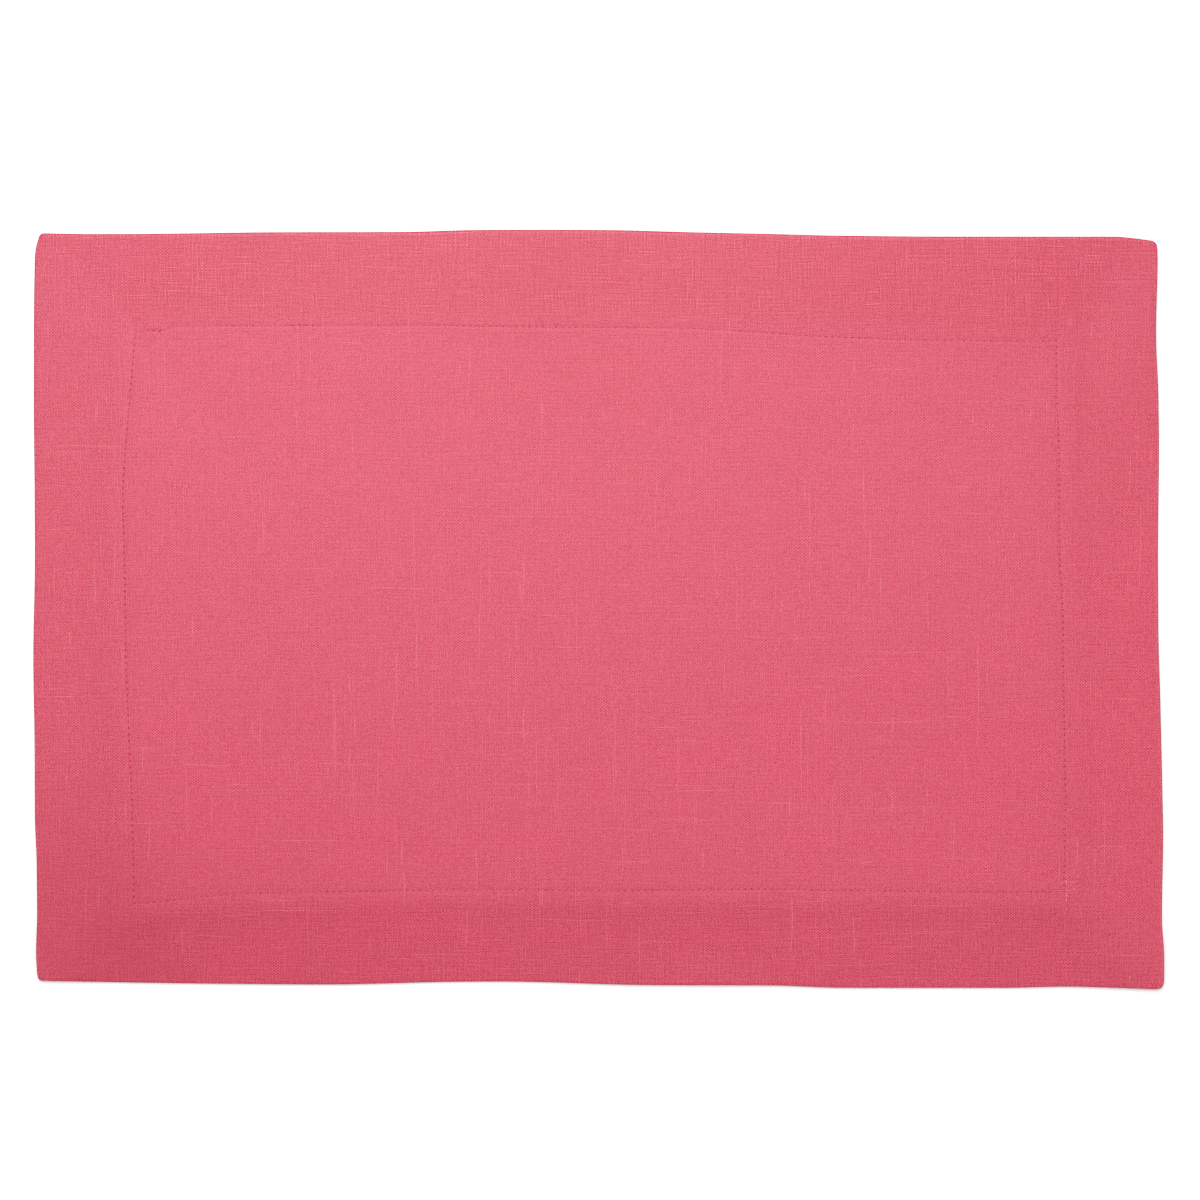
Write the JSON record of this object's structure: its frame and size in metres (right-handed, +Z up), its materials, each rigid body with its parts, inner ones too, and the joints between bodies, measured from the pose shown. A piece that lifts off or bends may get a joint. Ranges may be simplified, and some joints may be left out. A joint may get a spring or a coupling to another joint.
{
  "type": "fabric placemat",
  "caption": "Rectangular linen placemat lying flat, a single woven cloth with a wide stitched hem turned to the underside.",
  "frame": {"origin": "on the surface that the mat lies on, under the centre of its bounding box", "axes": "+X along the long sides, +Y towards the far long side, +Z up out of the face of the cloth"},
  "size_m": [0.4598, 0.3086, 0.0017],
  "materials": {
    "linen": "matt plain-woven linen in coral pink, uneven yarns with slubs"
  },
  "bodies": {
    "root": {"placemat": "linen"}
  },
  "joints": []
}
